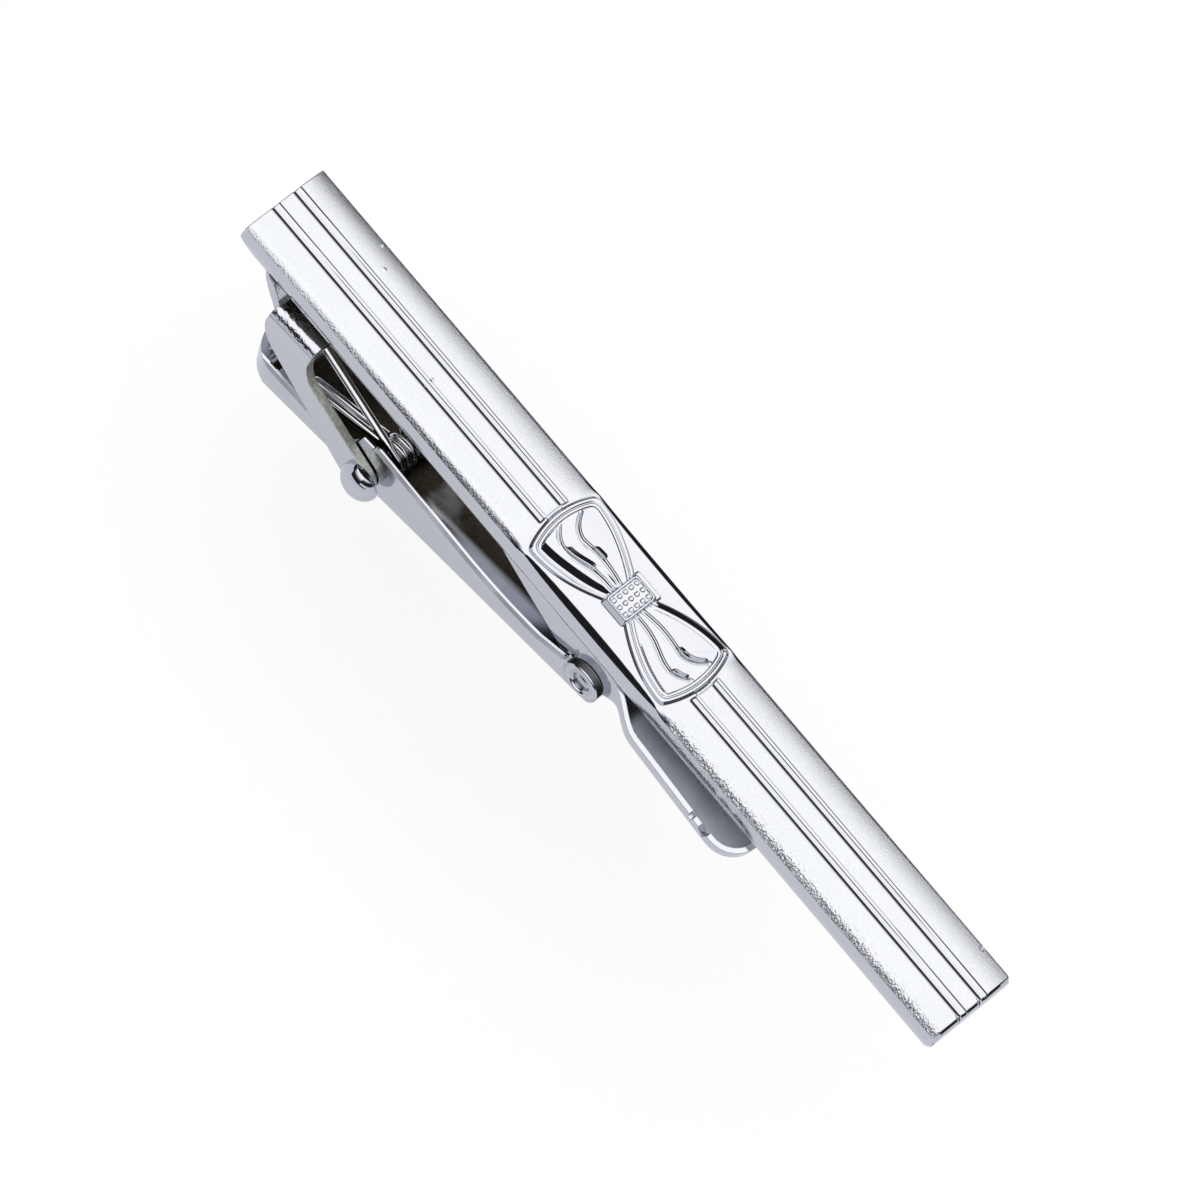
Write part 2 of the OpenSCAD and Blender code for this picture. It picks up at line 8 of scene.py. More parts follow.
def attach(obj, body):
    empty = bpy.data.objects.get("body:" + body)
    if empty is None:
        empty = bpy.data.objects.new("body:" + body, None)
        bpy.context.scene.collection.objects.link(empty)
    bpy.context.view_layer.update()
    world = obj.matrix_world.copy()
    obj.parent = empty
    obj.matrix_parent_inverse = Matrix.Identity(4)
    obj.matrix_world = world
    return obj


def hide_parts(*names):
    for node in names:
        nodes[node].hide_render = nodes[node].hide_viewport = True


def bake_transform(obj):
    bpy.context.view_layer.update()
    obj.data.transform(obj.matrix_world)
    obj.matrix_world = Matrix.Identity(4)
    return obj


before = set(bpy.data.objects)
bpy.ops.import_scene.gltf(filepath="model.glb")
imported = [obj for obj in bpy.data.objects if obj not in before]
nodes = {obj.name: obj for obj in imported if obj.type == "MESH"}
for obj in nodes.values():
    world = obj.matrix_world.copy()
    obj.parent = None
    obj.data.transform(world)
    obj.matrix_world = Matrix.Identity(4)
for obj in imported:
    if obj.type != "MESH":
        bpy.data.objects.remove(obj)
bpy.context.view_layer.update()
MM = 0.001

# camera, fitted to the bar's corners in the photograph
RIGHT = Vector((0.64526672, 0.70165802, 0.30217028))
DOWN = Vector((0.75982972, -0.5483836, -0.34919081))
AHEAD = Vector((-0.07930731, 0.45491917, -0.88699431))
EYE = Vector((77.997, -455.055, 886.575)) * MM
LENS = 551.7

scene = bpy.context.scene
cam_data = bpy.data.cameras.new("camera")
cam_data.sensor_width = 36
cam_data.lens = LENS
cam_data.clip_start, cam_data.clip_end = 0.05, 20
cam = bpy.data.objects.new("camera", cam_data)
scene.collection.objects.link(cam)
cam.matrix_world = Matrix([[RIGHT[i], -DOWN[i], -AHEAD[i], EYE[i]] for i in range(3)]
                          + [[0, 0, 0, 1]])
scene.camera = cam
scene.view_settings.view_transform = "Standard"


class Tree:
    """short names for adding shader and geometry nodes to a node tree"""

    def __init__(self, tree):
        self.t = tree
        tree.nodes.clear()

    def plug(self, n, ins):
        """set a node's inputs, each to a value or to another node's socket"""
        for k, v in ins.items():
            if isinstance(v, bpy.types.NodeSocket):
                self.t.links.new(v, n.inputs[k])
            else:
                n.inputs[k].default_value = v

    def add(self, kind, ins=None, **props):
        n = self.t.nodes.new(kind)
        for k, v in props.items():
            setattr(n, k, v)
        self.plug(n, ins or {})
        return n

    def math(self, op, a, b=0.0, c=0.0, clamp=False):
        return self.add("ShaderNodeMath", operation=op, use_clamp=clamp,
                        ins={0: a, 1: b, 2: c}).outputs[0]

    def times(self, a, b):
        return self.math("MULTIPLY", a, b)

    def ramp(self, v, a, b, lo=0.0, hi=1.0):
        """smooth step of v from lo at a to hi at b"""
        return self.add("ShaderNodeMapRange", interpolation_type="SMOOTHSTEP",
                        ins={"Value": v, "From Min": a, "From Max": b,
                             "To Min": lo, "To Max": hi}).outputs[0]

    def between(self, v, a, b, c, d):
        """1 from b to c, falling to 0 at a and at d"""
        return self.times(self.ramp(v, a, b), self.ramp(v, c, d, 1.0, 0.0))

    def vec(self, op, a, b=None):
        """vector maths; b is a factor for SCALE"""
        ins = {0: a}
        if b is not None:
            ins["Scale" if op == "SCALE" else 1] = b
        return self.add("ShaderNodeVectorMath", operation=op, ins=ins).outputs[0]

    def xyz(self, x, y, z):
        return self.add("ShaderNodeCombineXYZ", ins={0: x, 1: y, 2: z}).outputs[0]

    def split(self, vec):
        """the x, y and z of a vector"""
        n = self.add("ShaderNodeSeparateXYZ", ins={0: vec})
        return n.outputs["X"], n.outputs["Y"], n.outputs["Z"]

    def length(self, vec):
        return self.add("ShaderNodeVectorMath", operation="LENGTH",
                        ins={0: vec}).outputs["Value"]

    def mix(self, f, a, b):
        """colour a where f is 0, b where it is 1"""
        n = self.add("ShaderNodeMix", data_type="RGBA", ins={0: f})
        self.plug(n, {6: a, 7: b})
        return n.outputs[2]

    def noise(self, vec, scale, detail=3.0, rough=0.5):
        return self.add("ShaderNodeTexNoise", ins={"Vector": vec, "Scale": scale,
                        "Detail": detail, "Roughness": rough}).outputs["Fac"]


# studio: a light tent, bright overhead, dark round its sides, white at the horizon and below
TENT_FROM, TENT_TO, TENT_DARK, TENT_BRIGHT = 0.38, 0.82, 0.02, 1.75
LOW_FROM, LOW_TO = 0.040, 0.060

world = bpy.data.worlds.new("studio")
scene.world = world
world.use_nodes = True
sky = Tree(world.node_tree)
up = sky.split(sky.add("ShaderNodeTexCoord").outputs["Generated"])[2]
tent = sky.ramp(up, TENT_FROM, TENT_TO, TENT_DARK, TENT_BRIGHT)
low = sky.ramp(up, LOW_FROM, LOW_TO, 1.0, 0.0)
tone = sky.mix(sky.ramp(up, 0.45, 0.85), (1.0, 1.0, 1.02, 1), (1.0, 0.995, 0.98, 1))
light = sky.add("ShaderNodeBackground",
                ins={"Color": tone, "Strength": sky.math("MAXIMUM", tent, low)})
sky.add("ShaderNodeOutputWorld", ins={0: light.outputs[0]})

# floor, just below the lever's end when the lever is open
FLOOR_Z = -16.6 * MM
FLOOR_RINGS = [0.03, 0.08, 0.2, 0.6, 3.0]
FLOOR_SIDES = 96


def disc(name, rings, z, n):
    """flat disc of rings round the origin at height z"""
    bm = bmesh.new()
    prev = [bm.verts.new((0, 0, z))]
    for r in rings:
        cur = [bm.verts.new((r * math.cos(2 * math.pi * i / n),
                             r * math.sin(2 * math.pi * i / n), z)) for i in range(n)]
        for i in range(n):
            j = (i + 1) % n
            if len(prev) == 1:
                bm.faces.new((prev[0], cur[i], cur[j]))
            else:
                bm.faces.new((prev[i], cur[i], cur[j], prev[j]))
        prev = cur
    mesh = bpy.data.meshes.new(name)
    bm.to_mesh(mesh)
    bm.free()
    o = bpy.data.objects.new(name, mesh)
    scene.collection.objects.link(o)
    return o


def floor_material():
    """white to the camera with the object's shadow near the middle, a little greyer and bluer
    in the metal's reflections, and clear from below"""
    mat = bpy.data.materials.new("pale_floor")
    mat.use_nodes = True
    t = Tree(mat.node_tree)
    vec = t.add("ShaderNodeTexCoord").outputs["Object"]
    away = t.length(vec)
    lit = t.ramp(away, 0.012, 0.045, 0.74, 1.0)
    grain = t.ramp(t.noise(vec, 900.0, 4.0), 0.3, 0.7, 0.95, 0.97)
    grey = t.add("ShaderNodeCombineColor", ins={0: grain, 1: grain, 2: grain}).outputs[0]
    diffuse = t.add("ShaderNodeBsdfDiffuse", ins={"Color": grey})
    ray = t.add("ShaderNodeLightPath").outputs
    colour = t.mix(ray["Is Camera Ray"], (0.87, 0.88, 0.96, 1), (1, 1, 1, 1))
    white = t.add("ShaderNodeEmission", ins={"Strength": 1.0, "Color": colour})
    in_metal = t.math("MAXIMUM", ray["Is Glossy Ray"], ray["Is Transmission Ray"])
    seen = t.math("MAXIMUM", t.times(ray["Is Camera Ray"], lit),
                  t.times(in_metal, t.ramp(away, 0.014, 0.055, 0.45, 1.0)))
    top = t.add("ShaderNodeMixShader", ins={0: seen, 1: diffuse.outputs[0], 2: white.outputs[0]})
    below = t.add("ShaderNodeNewGeometry").outputs["Backfacing"]
    clear = t.add("ShaderNodeBsdfTransparent")
    both = t.add("ShaderNodeMixShader", ins={0: below, 1: top.outputs[0], 2: clear.outputs[0]})
    t.add("ShaderNodeOutputMaterial", ins={0: both.outputs[0]})
    return mat


floor = disc("floor", FLOOR_RINGS, FLOOR_Z, FLOOR_SIDES)
floor.data.materials.append(floor_material())

# metal
CHROME = (0.52, 0.53, 0.57, 1)
ROUGH_CUT = ((0.20, 0.21, 0.20, 1), (0.40, 0.415, 0.39, 1))
BUMP_HEIGHT = 0.02 * MM


def metal(name, colour=CHROME, rough=(0.08, 0.16), edge=0.05, cut=None, grit=0.0,
          dark=ROUGH_CUT, raw=0.22, tilt=None, lumps=None):
    """plated metal: smudged roughness, fine orange peel, edges rounded by edge mm.

    cut gives a mask of bare faces, rougher by raw, and a choice between the two colours of
    dark, which on the lever and the jaw are painted shade and light; tilt gives a lean of the
    surface's normal, and lumps a factor for a coarser bump."""
    mat = bpy.data.materials.new(name)
    mat.use_nodes = True
    t = Tree(mat.node_tree)
    pos = t.add("ShaderNodeTexCoord")
    vec = pos.outputs["Object"]
    cloud = t.noise(vec, 260.0, 4.0, 0.6)
    fine = t.noise(vec, 5200.0, 3.0, 0.6)
    r = t.ramp(cloud, 0.35, 0.7, rough[0], rough[1])
    dull = tuple(c * 0.82 for c in colour[:3]) + (1,)
    base = t.mix(t.ramp(cloud, 0.5, 0.8, 0.0, 0.35), colour, dull)
    if cut is not None:
        mask, pick = cut(t, pos)
        speck = t.ramp(t.math("ADD", t.times(fine, 0.5), t.times(cloud, 0.5)), 0.38, 0.62)
        if pick is not None:
            speck = t.math("ADD", pick, t.times(speck, 0.12), clamp=True)
        base = t.mix(mask, base, t.mix(speck, dark[0], dark[1]))
        r = t.math("ADD", r, t.times(mask, raw))
    if lumps is not None:
        fine = t.math("ADD", fine, t.times(t.noise(vec, 3300.0, 2.0), lumps(t, pos)))
    bump = t.add("ShaderNodeBump", ins={"Strength": 0.06 + grit, "Distance": BUMP_HEIGHT,
                                        "Height": fine})
    normal = None
    if edge:
        normal = t.add("ShaderNodeBevel", samples=6, ins={"Radius": edge * MM}).outputs[0]
    if tilt is not None:
        # the lean is given in the part's own axes
        lean, amount = tilt(t, pos)
        turned = t.add("ShaderNodeVectorTransform", vector_type="VECTOR",
                       convert_from="OBJECT", convert_to="WORLD",
                       ins={0: t.vec("SCALE", lean, amount)}).outputs[0]
        normal = t.vec("NORMALIZE", t.vec("ADD", normal, turned))
    if normal is not None:
        t.plug(bump, {"Normal": normal})
    shader = t.add("ShaderNodeBsdfPrincipled", ins={
        "Base Color": base, "Metallic": 1.0, "Roughness": r, "Normal": bump.outputs[0]})
    t.add("ShaderNodeOutputMaterial", ins={0: shader.outputs[0]})
    return mat


def bar_metal():
    """satin bands and polished parts, told apart by the satin attribute; the back is duller, and
    painted with shade over the clasp
    """
    mat = bpy.data.materials.new("struck_bar_plating")
    mat.use_nodes = True
    t = Tree(mat.node_tree)
    vec = t.add("ShaderNodeTexCoord").outputs["Object"]
    satin = t.add("ShaderNodeAttribute", attribute_name="satin").outputs["Fac"]
    x, y, z = t.split(vec)
    back = t.ramp(z, 0.02 * MM, 0.10 * MM, 1.0, 0.0)
    cloud = t.noise(vec, 220.0, 4.0, 0.6)
    fine = t.noise(vec, 12500.0, 2.0, 0.65)
    polished = t.ramp(cloud, 0.35, 0.7, 0.06, 0.11)
    sanded = t.ramp(cloud, 0.3, 0.7, 0.20, 0.26)
    r = t.math("ADD", polished, t.times(satin, t.math("SUBTRACT", sanded, polished)))
    r = t.math("MAXIMUM", r, t.times(back, 0.4))
    mottle = t.mix(t.ramp(fine, 0.3, 0.7), (0.515, 0.53, 0.565, 1), (0.575, 0.585, 0.615, 1))
    base = t.mix(satin, CHROME, mottle)
    # the back is painted dark and mottled over the clasp as shade, and painted lighter beyond it
    back_shade = t.mix(cloud, (0.10, 0.09, 0.075, 1), (0.20, 0.195, 0.19, 1))
    painted_back = t.mix(t.ramp(x, -14 * MM, -11 * MM), back_shade, (0.62, 0.64, 0.68, 1))
    base = t.mix(back, base, painted_back)
    # the sanded near edge is coarser, most of all to the right of the bow
    coarse = t.ramp(x, -12 * MM, 8 * MM, 1.4, 5.0)
    near = t.ramp(y, -2.62 * MM, -2.25 * MM, coarse, 0.0)
    dots = t.times(t.math("SUBTRACT", t.noise(vec, 7500.0, 1.0), 0.5), near)
    pits = t.times(satin, t.math("ADD", dots, t.times(fine, 0.8)))
    bump = t.add("ShaderNodeBump", ins={"Strength": 0.8, "Distance": BUMP_HEIGHT, "Height": pits})
    shader = t.add("ShaderNodeBsdfPrincipled", ins={
        "Base Color": base, "Metallic": 1.0, "Roughness": r, "Normal": bump.outputs[0]})
    t.add("ShaderNodeOutputMaterial", ins={0: shader.outputs[0]})
    return mat


# bar with its relief, lengths in millimetres: x along the bar, y across it
HALF_L, HALF_W, THICK = 29.0, 3.0, 1.9
# the side walls curl in at the bottom, and the bar's two ends are rounded below
CURL_IN, CURL_H = 0.14, 1.0
UNDER_L, UNDER_H, UNDER_R = 1.2, 0.5, 0.45
SIDE_SATIN = 0.15
# bow: half length, rounding of its ends, half widths at the tips and at the waist
BOW_X, BOW_HALF, CORNER = -0.1, 6.25, 0.65
TIP, WAIST, WING_0 = 2.74, 1.2, 0.78
KNOT_L, KNOT_W, KNOT_H = 1.86, 2.75, 0.42
# grooves: their middles, and the stations across each
GROOVES = (-0.82, 0.82)
GROOVE_Y = [-0.35, -0.25, -0.13, 0.11, 0.165, 0.285, 0.335]
# rounding of the face's left end; the face's fall END_Z at distances END_T from its right end
END_L = 0.08
END_T = [0.0, 0.03, 0.06, 0.09, 0.13, 0.17, 0.21, 0.24, 0.27]
END_Z = [0.414, 0.264, 0.174, 0.126, 0.094, 0.062, 0.030, 0.009, 0.0]
# marks of handling, three small blobs and a nick: x, y, radius, height
FLAWS = [(-23.7, 2.70, 0.14, 0.05), (-22.57, 1.73, 0.17, 0.03), (-16.21, -0.43, 0.14, 0.035),
         (26.65, 2.78, 0.15, -0.17)]


def step(v, a, b):
    """smooth step of v from 0 at a to 1 at b"""
    k = np.clip((v - a) / (b - a), 0, 1)
    return k * k * (3 - 2 * k)


def ridge(t, near, far):
    """1 at t = 0, falling to 0 at -near and at far"""
    return np.where(t < 0, step(t, -near, 0), 1 - step(t, 0, far))


def smin(a, b, k):
    """the smaller of a and b, rounded over k where they meet"""
    h = np.clip(0.5 + 0.5 * (b - a) / k, 0, 1)
    return b + (a - b) * h - k * h * (1 - h)


def fold_a(u):
    """y of the near fold at u along the wing"""
    return np.where(u < 0.66, -0.30 - 0.62 * np.sin(np.pi / 2 * np.clip(u, 0, 0.66) / 0.66) ** 4,
                    -0.92 + 0.60 * ((u - 0.66) / 0.20) ** 2)


def fold_b(u):
    """y of the far fold at u along the wing"""
    return np.where(u < 0.6, 0.15 + 0.20 * np.sin(np.radians(300 * np.clip(u, 0, 0.6))) + 0.14 * u,
                    0.234 + 0.95 * (np.maximum(u - 0.6, 0) / 0.25) ** 2)


def crease(t, dark):
    """a rounded crease; where dark is 1 it is higher and its far side is a straight slope"""
    h = 0.10 + 0.09 * dark
    soft = step(t, -0.13, 0) * (1 - step(t, 0, 0.13))
    straight = step(t, -0.13, 0) * (1 - np.clip((t - 0.02) * 0.52 / h, 0, 1))
    return h * (soft * (1 - dark) + straight * dark)


def wing_inside(X, y):
    """distance inside the wing's outline, inside its long side and its end, and u along it"""
    a = np.abs(X)
    end = BOW_HALF - CORNER * (np.abs(y) / TIP) ** 2
    u = (a - WING_0) / (end - WING_0)
    uc = np.clip(u, 0, 1)
    e = WAIST + (TIP - WAIST) * (1 - (1 - uc) ** 2.2)
    slope = 2.2 * (TIP - WAIST) * (1 - uc) ** 1.2 / (BOW_HALF - WING_0)
    side = (e - np.abs(y)) / np.sqrt(1 + slope ** 2)
    tip = (end - a) / np.sqrt(1 + (2 * CORNER * np.abs(y) / TIP ** 2) ** 2)
    return smin(side, tip, 0.35), side, tip, u


def rim_height(X, y, d, side, tip, u):
    """the wings' rims: a bead, a groove and an inner slope, different in each quarter"""
    end_on = step(side - tip, 0.0, 0.3)
    wall = (1 - end_on) * step(d, 0.0, 0.10) + end_on * np.interp(d, [0, 0.10, 0.15], [0, 0.33, 1])
    bead = 0.24 * wall + 0.012 * ridge(d - 0.20, 0.10, 0.12)
    groove = 0.06 * ridge(d - 0.36, 0.08, 0.08)
    within = step(d, 0.54, 0.61)
    plain = bead * (1 - within) - groove + 0.15 * within
    # far side of the right wing: a valley with a long slope inside the outer bead
    valley = (0.06 * step(d, 0, 0.06) + 0.42 * np.clip(d - 0.09, 0, 0.36)
              - 0.07 * step(d, 0.60, 0.68))
    # near side of the left wing: the inner slope runs far in
    start = 0.54 * (0.66 + 0.34 * step(u, 0.0, 0.6))
    reach = 0.48 + 0.26 * step(u, 0.0, 0.75)
    slope = (0.24 - 0.06 * ridge(side - start + 0.18, 0.08, 0.08)
             - 0.40 * np.clip(side - start, 0, reach)
             + (0.40 * reach - 0.09) * step(side, start + reach, start + reach + 1.4))
    on_side = step(tip - side, -0.10, 0.25)
    far_right = np.where((X >= 0) & (y > 0), on_side * step(u, 0.02, 0.10), 0)
    near_left = np.where((X < 0) & (y < 0) & (d > 0.2),
                         step(tip, 0.60, 0.68) * step(u, 0.01, 0.05), 0)
    rim = plain * (1 - far_right - near_left) + valley * far_right + slope * near_left
    # near side of the right wing: a fine line inside the rim, deeper towards the tip
    line = np.where((X >= 0) & (y < 0), step(u, 0.25, 0.35) * step(tip, 0.50, 0.60), 0)
    line = line * (0.045 + 0.02 * np.sin(31 * X) + 0.03 * step(u, 0.80, 0.93))
    return rim + line * (step(side, 0.40, 0.62) - 1.6 * step(side, 0.64, 0.76)
                         + 0.6 * step(side, 0.76, 1.4))


def fold_height(X, y, d, u):
    """the two folds along each wing, each with a low second crease beside it"""
    ya, yb = fold_a(np.clip(u, 0, 0.865)), fold_b(np.clip(u, 0, 0.86))
    dark_a = np.where(X < 0, step(u, 0.25, 0.38) * (1 - step(u, 0.62, 0.70)),
                      step(u, 0.66, 0.70) * (1 - step(u, 0.80, 0.84)))
    dark_b = np.where(X < 0, 0.8 * step(u, 0.30, 0.36) * (1 - step(u, 0.45, 0.51)),
                      step(u, 0.5, 0.6) * (1 - step(u, 0.80, 0.85)))
    main = np.maximum(crease(y - ya, dark_a), crease(y - yb, dark_b))
    second = 0.05 * ridge(y - ya + 0.24, 0.10, 0.08) + 0.05 * ridge(y - yb + 0.24, 0.10, 0.08)
    fade = (1 - step(u, 0.83, 0.90)) * step(u, -0.05, 0.08)
    return fade * (main + second) * step(d, 0.46, 0.66)


def knot(X, y):
    """distance inside the knot's outline, and its height: a frame round three by five studs"""
    kx, ky = np.abs(X), np.abs(y)
    inside = smin(2.2 * (KNOT_L / 2 - kx), KNOT_W / 2 - ky, 0.4) + 0.05
    top = KNOT_H * np.clip(inside / 0.24, 0, 1)
    panel = smin(KNOT_L / 2 - 0.20 - kx, KNOT_W / 2 - 0.26 - ky, 0.2)
    top -= 0.10 * step(panel, -0.02, 0.06)
    px = (KNOT_L - 0.40) / 3
    py = (KNOT_W - 0.52) / 5
    cx = X - px * np.round(np.clip(X / px, -1, 1))
    cy = y - py * np.round(np.clip(y / py, -2, 2))
    stud = 0.17 - np.sqrt(cx ** 2 + cy ** 2 + 1e-9)
    stud = np.minimum(stud, cx + 0.11)
    top += 0.085 * step(stud, 0, 0.05) * (panel > 0)
    return inside, top


def relief(x, y):
    """height of the struck work over the flat face at one station x, and where it is satin"""
    X = x - BOW_X
    d, side, tip, u = wing_inside(X, y)
    h = np.where(d > 0, rim_height(X, y, d, side, tip, u) + fold_height(X, y, d, u), 0)
    in_knot, top = knot(X, y)
    h = np.where(in_knot > 0, np.maximum(top, h * step(in_knot, 0.2, 0.0)), h)
    # a strap shows beyond the knot's far end
    strap = smin(KNOT_L / 2 + 0.05 - np.abs(X),
                 np.minimum(y - KNOT_W / 2 + 0.2, KNOT_W / 2 + 0.28 - y), 0.1)
    h = np.maximum(h, 0.21 * step(strap, 0, 0.08))
    # the grooves stop at a line round the bow's ends; each has a fine step on its far side
    # and a slope on its near side, whose foot is deeper towards the bar's ends
    beyond = np.abs(X) - (BOW_HALF + 0.12 - CORNER * (np.abs(y) / TIP) ** 2)
    grooved = step(beyond, -0.03, 0.09)
    deep = 0.034 * float(step(np.abs(x), 22, 28.6).flat[0])
    foot = 0.056 + 1.24 * deep
    cut = 0
    for g in GROOVES:
        cut = cut + np.interp(y - g, GROOVE_Y[:5] + [0.285 - deep, 0.335],
                              [0, 0.03, 0.09, 0.119, foot, foot, 0])
    # the ground beside the bow's waist is lower than the bands beyond its ends
    ground = -0.06 * (1 - grooved) * step(np.abs(y), 0.60, 0.52)
    on_bow = (d > 0) | (in_knot > 0) | (strap > 0)
    h = np.where(on_bow, h, -cut * grooved + ground)
    off_groove = step(np.abs(np.abs(y) - GROOVES[1]), 0.36, 0.42)
    satin = np.where(d > 0, 0, step(np.abs(X), BOW_HALF - 0.4, BOW_HALF + 1.0)) * off_groove
    for fx, fy, radius, height in FLAWS:
        q = np.sqrt((x - fx) ** 2 + (y - fy) ** 2) / radius
        h = h + height * (1 - step(q, 0, 1))
    return h, satin


def edge_drop(x, ys):
    """how far the face falls away towards its long edges at station x, from its slopes there"""
    X = abs(x - BOW_X)
    bow = 1 - float(step(np.array(X), 5.2, 6.3))
    lens = math.sqrt(max(0.0, 1 - (X / 5.5) ** 2)) if bow > 0 else 0.0
    left = float(step(np.array(-x), 12, 28))
    right = float(step(np.array(x), 14, 27))
    # far side: the slope of the band, and the slope beside the bow
    bend = 2.80 + 0.10 * max(right, left)
    far_band = np.interp(ys, [1.1, 2.0, bend - 0.04, bend, 2.95, 2.99],
                         [0, 0.13 + 0.03 * left, 0.25 + 0.08 * left, 0.46, 0.49, 3])
    far_start = 2.90 - 0.25 * lens
    far_bow = np.interp(ys, [2.4, far_start - 0.06, far_start, 2.95, 2.99],
                        [0, 0.04, 0.46, 0.49, 3])
    far = far_band * (1 - bow) + far_bow * bow
    # near side: the same two
    steep = 1.05 + 0.10 * right - 0.25 * left
    near_band = np.interp(-ys, [2.42, 2.68, 2.80, 2.985],
                          [0, 0.52 - 0.14 * left, 0.93 - 0.30 * left, steep + 0.1 - 0.05 * left])
    near_start = 2.96 - 0.26 * lens
    near_bow = np.interp(-ys, [near_start - 0.12, near_start - 0.02, near_start, 2.985],
                         [0, 0.3, 1.17, 1.40])
    near = near_band * (1 - bow) + near_bow * bow
    gap = np.diff(ys)
    far_z = np.concatenate([[0], np.cumsum((far[1:] + far[:-1]) / 2 * gap)])
    near_z = np.concatenate([np.cumsum(((near[1:] + near[:-1]) / 2 * gap)[::-1])[::-1], [0]])
    return far_z + 0.16 * bow * step(ys, 0.3, 2.7) + near_z


def stations():
    """the bar's stations along x: close together over the bow, the flaws and the ends"""
    bow_from, bow_to, end = -6.7, 6.55, 28.7
    dense = np.arange(bow_from, bow_to, 0.03)
    left = np.linspace(-end, bow_from, 110)[:-1]
    right = np.linspace(bow_to, end, 110)
    end_l = -HALF_L + END_L * (1 - np.sin(np.radians([90, 72, 54, 36, 18, 0])))
    end_r = HALF_L - np.array(END_T[::-1])
    marks = [flaw[0] + q for flaw in FLAWS for q in np.linspace(-0.14, 0.14, 9)]
    xs = [end_l, [-28.85], left, dense, right, [28.6], end_r, marks]
    return np.unique(np.round(np.concatenate(xs), 4))


def face_lines():
    """the face's points across y: evenly spaced, with a pair at each line of the grooves"""
    even = np.linspace(-2.72, 2.72, 219)
    lines = np.array([g + q + e for g in GROOVES for q in GROOVE_Y for e in (-0.004, 0.004)])
    apart = np.min(np.abs(even[:, None] - lines[None, :]), axis=1) > 0.012
    core = np.sort(np.concatenate([even[apart], lines]))
    edge = np.array([2.75, 2.78, 2.81, 2.84, 2.87, 2.90, 2.93, 2.955, 2.975, 2.99, HALF_W])
    return np.concatenate([-edge[::-1], core, edge])


def bar_mesh():
    """rings of points round the bar, one at each station, and the satin value of each point"""
    ys = face_lines()
    curl_r = (CURL_H ** 2 + CURL_IN ** 2) / (2 * CURL_IN)
    curl = [(HALF_W - curl_r * (1 - math.cos(a)), CURL_H - curl_r * math.sin(a))
            for a in np.linspace(0, math.asin(CURL_H / curl_r), 8)]
    under_r = (UNDER_L ** 2 + UNDER_H ** 2) / (2 * UNDER_H)
    rings, satins = [], []
    for x in stations():
        k = max(0.0, -x - (HALF_L - END_L)) / END_L
        inset = END_L * (1 - math.sqrt(max(0.0, 1 - min(1, k) ** 2)))
        if x > 28:
            # the bands' far corners are rounded where they meet the end
            off = np.min([np.where(ys <= g, g - ys, 9) for g in (-1.15, 0.49)], axis=0)
            inset = np.interp(HALF_L - x - 0.16 * np.clip(1 - off / 0.2, 0, 1) ** 2, END_T, END_Z)
        z, satin = relief(np.full_like(ys, x), ys)
        z = THICK + z - edge_drop(x, ys) - inset
        bottom = 0.0
        if x < -HALF_L + UNDER_L:
            bottom = under_r - math.sqrt(under_r * under_r - (x + HALF_L - UNDER_L) ** 2)
        if x > HALF_L - UNDER_R:
            bottom = UNDER_R - math.sqrt(max(0, UNDER_R ** 2 - (x - HALF_L + UNDER_R) ** 2))
        # the ends draw in a little where the face falls
        pull = 0.3 * float(np.max(inset))
        top = [(a * (1 - pull / HALF_W), b) for a, b in zip(ys, z)]
        brink = min(z[0], z[-1])
        wall = [(HALF_W - pull, brink - fall) for fall in (0.03, 0.2, 0.4)]
        wall += [(a - pull, max(b, bottom)) for a, b in curl]
        loop = top + wall + [(0.9, bottom), (-0.9, bottom)] + [(-a, b) for a, b in wall[::-1]]
        rings.append([(x, a, b) for a, b in loop])
        worn = 0 if HALF_L - x < 0.25 else 1
        satins.append(list(satin * worn) + [SIDE_SATIN] * (2 * len(wall) + 2))
    return np.array(rings), np.array(satins)


def loft(name, rings):
    """closed smooth mesh through rings of points in millimetres"""
    n, k = rings.shape[:2]
    verts = rings.reshape(-1, 3) * MM
    i, j = np.meshgrid(np.arange(n - 1), np.arange(k), indexing="ij")
    a = (i * k + j).ravel()
    b = (i * k + (j + 1) % k).ravel()
    faces = np.stack([a, b, b + k, a + k], 1)[:, ::-1].tolist()
    faces.append(list(range(k)))
    faces.append(list(range((n - 1) * k, n * k))[::-1])
    mesh = bpy.data.meshes.new(name)
    mesh.from_pydata(verts.tolist(), [], faces)
    mesh.update()
    bm = bmesh.new()
    bm.from_mesh(mesh)
    bmesh.ops.recalc_face_normals(bm, faces=bm.faces)
    bm.to_mesh(mesh)
    bm.free()
    mesh.polygons.foreach_set("use_smooth", [True] * len(mesh.polygons))
    o = bpy.data.objects.new(name, mesh)
    scene.collection.objects.link(o)
    return o


bar_rings, bar_satin = bar_mesh()
bar = loft("struck_bar", bar_rings)
att = bar.data.attributes.new("satin", "FLOAT", "POINT")
att.data.foreach_set("value", bar_satin.ravel().astype(np.float32))
bar.data.materials.append(bar_metal())
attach(bar, "bar")
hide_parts("face_bar")

# spring: two halves, each wound from the bar to the lever
# the main pivot's x and z, and the slant of the lower legs at rest
PIV = np.array([-15.1, -6.3])
REST = math.radians(10.7)
# radii of wire and coils; the lower legs' half distance and length
WIRE_R, COIL_R, LEG_Y, LEG_L = 0.25, 0.92, 0.26, 6.45
# the coils' outer ends in y, and how far the lower legs lean to the near side
COIL_OUT, DRIFT = 1.45, 0.85
# the upper legs end under the bracket's sloping plate: how far from the bar's end, and y
LEG_AT, LEG_END_Y = 5.6, 1.9
PLATE_TILT, PLATE_FROM, PLATE_Z, SHEET = math.radians(7), 4.15, -1.25, 0.56
FULL_TURNS = 2


